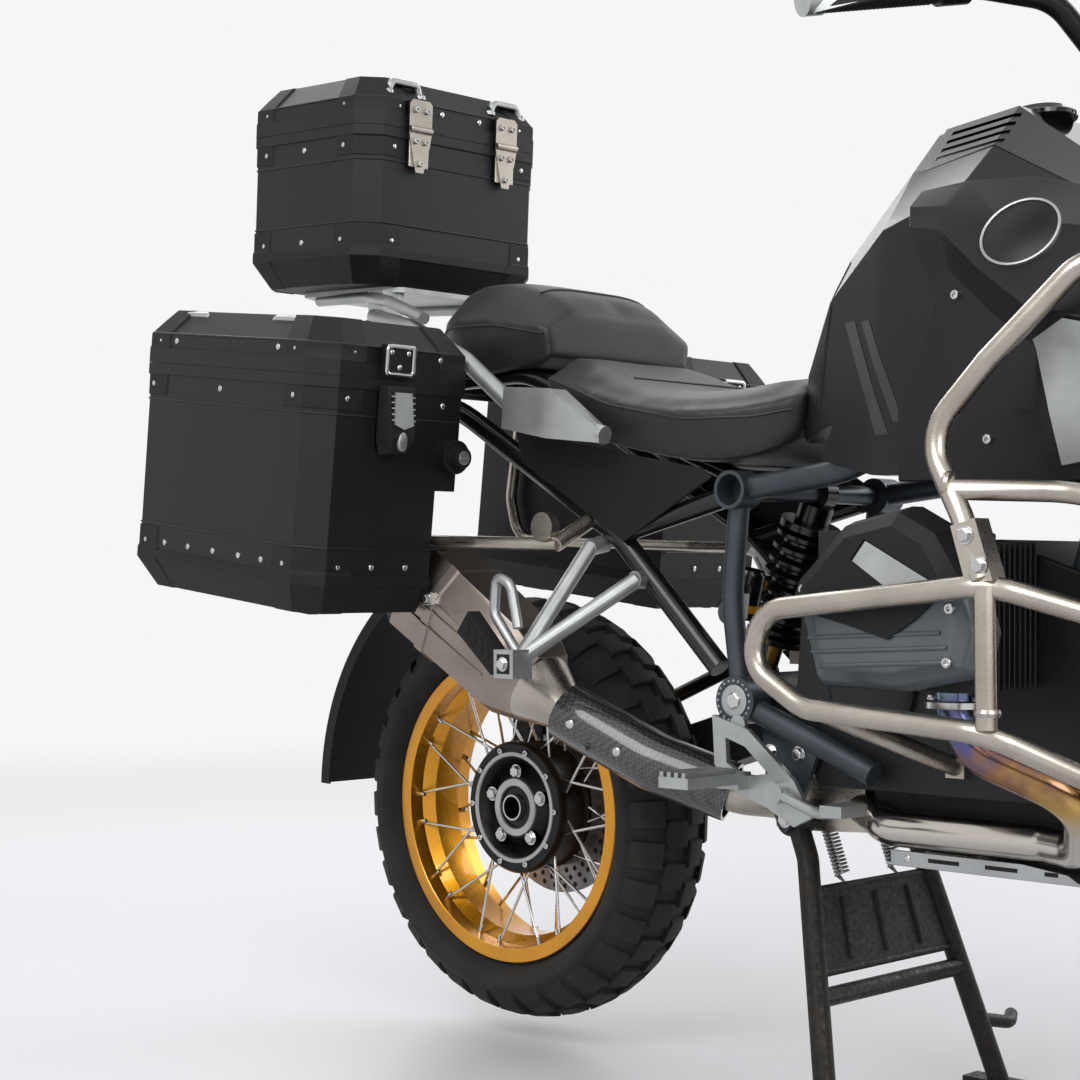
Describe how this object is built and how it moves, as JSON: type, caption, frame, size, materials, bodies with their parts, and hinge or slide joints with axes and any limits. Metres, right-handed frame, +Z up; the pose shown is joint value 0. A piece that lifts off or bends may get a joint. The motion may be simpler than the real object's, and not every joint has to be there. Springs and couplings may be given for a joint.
{
  "type": "adventure motorcycle",
  "caption": "Adventure motorcycle on its centre stand, with flat-twin engine, crash bars, gold spoked wheels, shaft drive and black aluminium panniers and top case",
  "frame": {"origin": "On the floor under the middle of the motorcycle's overall length and width, as it stands on its centre stand", "axes": "+X forward, +Y to the rider's left, +Z up"},
  "size_m": [2.326, 0.976, 1.5115],
  "materials": {
    "satin_black_metal": "powder coat, satin",
    "grey_frame_paint": "metallic paint",
    "cast_engine": "painted casting",
    "cover_grey": "painted casting with a bright panel",
    "case_aluminium": "powder coat, satin black",
    "silver_cast": "fine cast, clear coat",
    "bare_aluminium": "brushed",
    "fork_black": "anodised",
    "rail_steel": "electropolished",
    "exhaust_steel": "polished, heat tinted",
    "silencer_metal": "fine brushed",
    "disc_steel": "ground",
    "rim_gold": "gold anodised",
    "hub_black": "powder coat",
    "shock_unit": "painted spring, black damper",
    "tank_paint": "matt black with gloss stripes",
    "shroud_plastic": "matt",
    "gloss_black": "gloss",
    "rough_black": "grained",
    "carbon": "woven fibre, clear coat",
    "seat_cover": "smooth vinyl",
    "tyre_rubber": "block tread",
    "screen_clear": "clear, light tint",
    "mirror_shell": "shell with a mirror face",
    "lamp_unit": "dark lens",
    "gloss_cover": "gloss",
    "guard_plastic": "fine grain, with a bright insert",
    "silver_panel": "satin silver lacquer",
    "rail_black": "powder coat, gloss"
  },
  "bodies": {
    "chassis": {"engine_block": "cast_engine", "cylinders": "cast_engine", "head_covers": "cover_grey", "head_guards": "guard_plastic", "tank_cover": "gloss_cover", "shroud_panels": "silver_panel", "swingarm": "cast_engine", "torque_arm": "fork_black", "rear_shock": "shock_unit", "spray_guard": "rough_black", "main_frame": "grey_frame_paint", "rear_subframe": "rail_black", "exhaust_pipes": "exhaust_steel", "silencer": "silencer_metal", "exhaust_shield": "carbon", "skid_plate": "bare_aluminium", "crash_bars": "rail_steel", "fuel_tank": "tank_paint", "side_shrouds": "shroud_plastic", "radiators": "cast_engine", "beak": "shroud_plastic", "headlight": "lamp_unit", "dashboard": "rough_black", "windscreen": "screen_clear", "rider_seat": "seat_cover", "passenger_seat": "seat_cover", "under_seat_covers": "rough_black", "grab_rails": "silver_cast", "tail_unit": "rough_black", "tail_lamps": "gloss_black", "luggage_rack": "silver_cast", "pannier_rails": "rail_steel", "pannier_right": "case_aluminium", "pannier_left": "case_aluminium", "topcase": "case_aluminium", "case_latches": "rail_steel", "footpegs": "silver_cast", "passenger_pegs": "silver_cast", "telelever": "cast_engine", "front_shock": "shock_unit"},
    "rear_wheel": {"rear_tyre": "tyre_rubber", "rear_rim": "rim_gold", "rear_hub": "hub_black", "rear_brake_disc": "disc_steel"},
    "front_wheel": {"front_tyre": "tyre_rubber", "front_rim": "rim_gold", "front_hub": "hub_black", "front_brake_discs": "disc_steel"},
    "steering": {"fork": "fork_black", "handlebar": "fork_black", "hand_levers": "bare_aluminium", "hand_guards": "rough_black", "mirrors": "mirror_shell", "front_mudguard": "rough_black", "front_calipers": "cast_engine"},
    "centre_stand_body": {"centre_stand": "satin_black_metal"},
    "side_stand_body": {"side_stand": "satin_black_metal"},
    "topcase_lid_body": {"topcase_lid": "case_aluminium"},
    "pannier_right_lid_body": {"pannier_right_lid": "case_aluminium"},
    "pannier_left_lid_body": {"pannier_left_lid": "case_aluminium"}
  },
  "joints": [
    {"name": "rear_wheel_spin", "type": "hinge", "parent": "chassis", "child": "rear_wheel", "pos_m": [-0.663, 0, 0.345], "axis": [0, 1, 0], "continuous": true},
    {"name": "steering_turn", "type": "hinge", "parent": "chassis", "child": "steering", "pos_m": [0.79515, 0, 0.30506], "axis": [-0.3987, 0, 0.9171], "range_deg": [-38, 38]},
    {"name": "front_wheel_spin", "type": "hinge", "parent": "steering", "child": "front_wheel", "pos_m": [0.841, 0, 0.325], "axis": [0, 1, 0], "continuous": true},
    {"name": "centre_stand_swing", "type": "hinge", "parent": "chassis", "child": "centre_stand_body", "pos_m": [-0.065, 0, 0.385], "axis": [0, 1, 0], "range_deg": [0, 95]},
    {"name": "side_stand_swing", "type": "hinge", "parent": "chassis", "child": "side_stand_body", "pos_m": [0.079, 0.196, 0.352], "axis": [-0.027, -0.888, -0.459], "range_deg": [0, 99]},
    {"name": "topcase_lid_open", "type": "hinge", "parent": "chassis", "child": "topcase_lid_body", "pos_m": [-0.81992, 0, 1.38472], "axis": [0, 1, 0], "range_deg": [0, 80]},
    {"name": "pannier_right_lid_open", "type": "hinge", "parent": "chassis", "child": "pannier_right_lid_body", "pos_m": [-0.56911, -0.356, 0.96317], "axis": [0, 1, 0], "range_deg": [0, 90]},
    {"name": "pannier_left_lid_open", "type": "hinge", "parent": "chassis", "child": "pannier_left_lid_body", "pos_m": [-0.56911, 0.356, 0.96317], "axis": [0, 1, 0], "range_deg": [0, 90]}
  ]
}
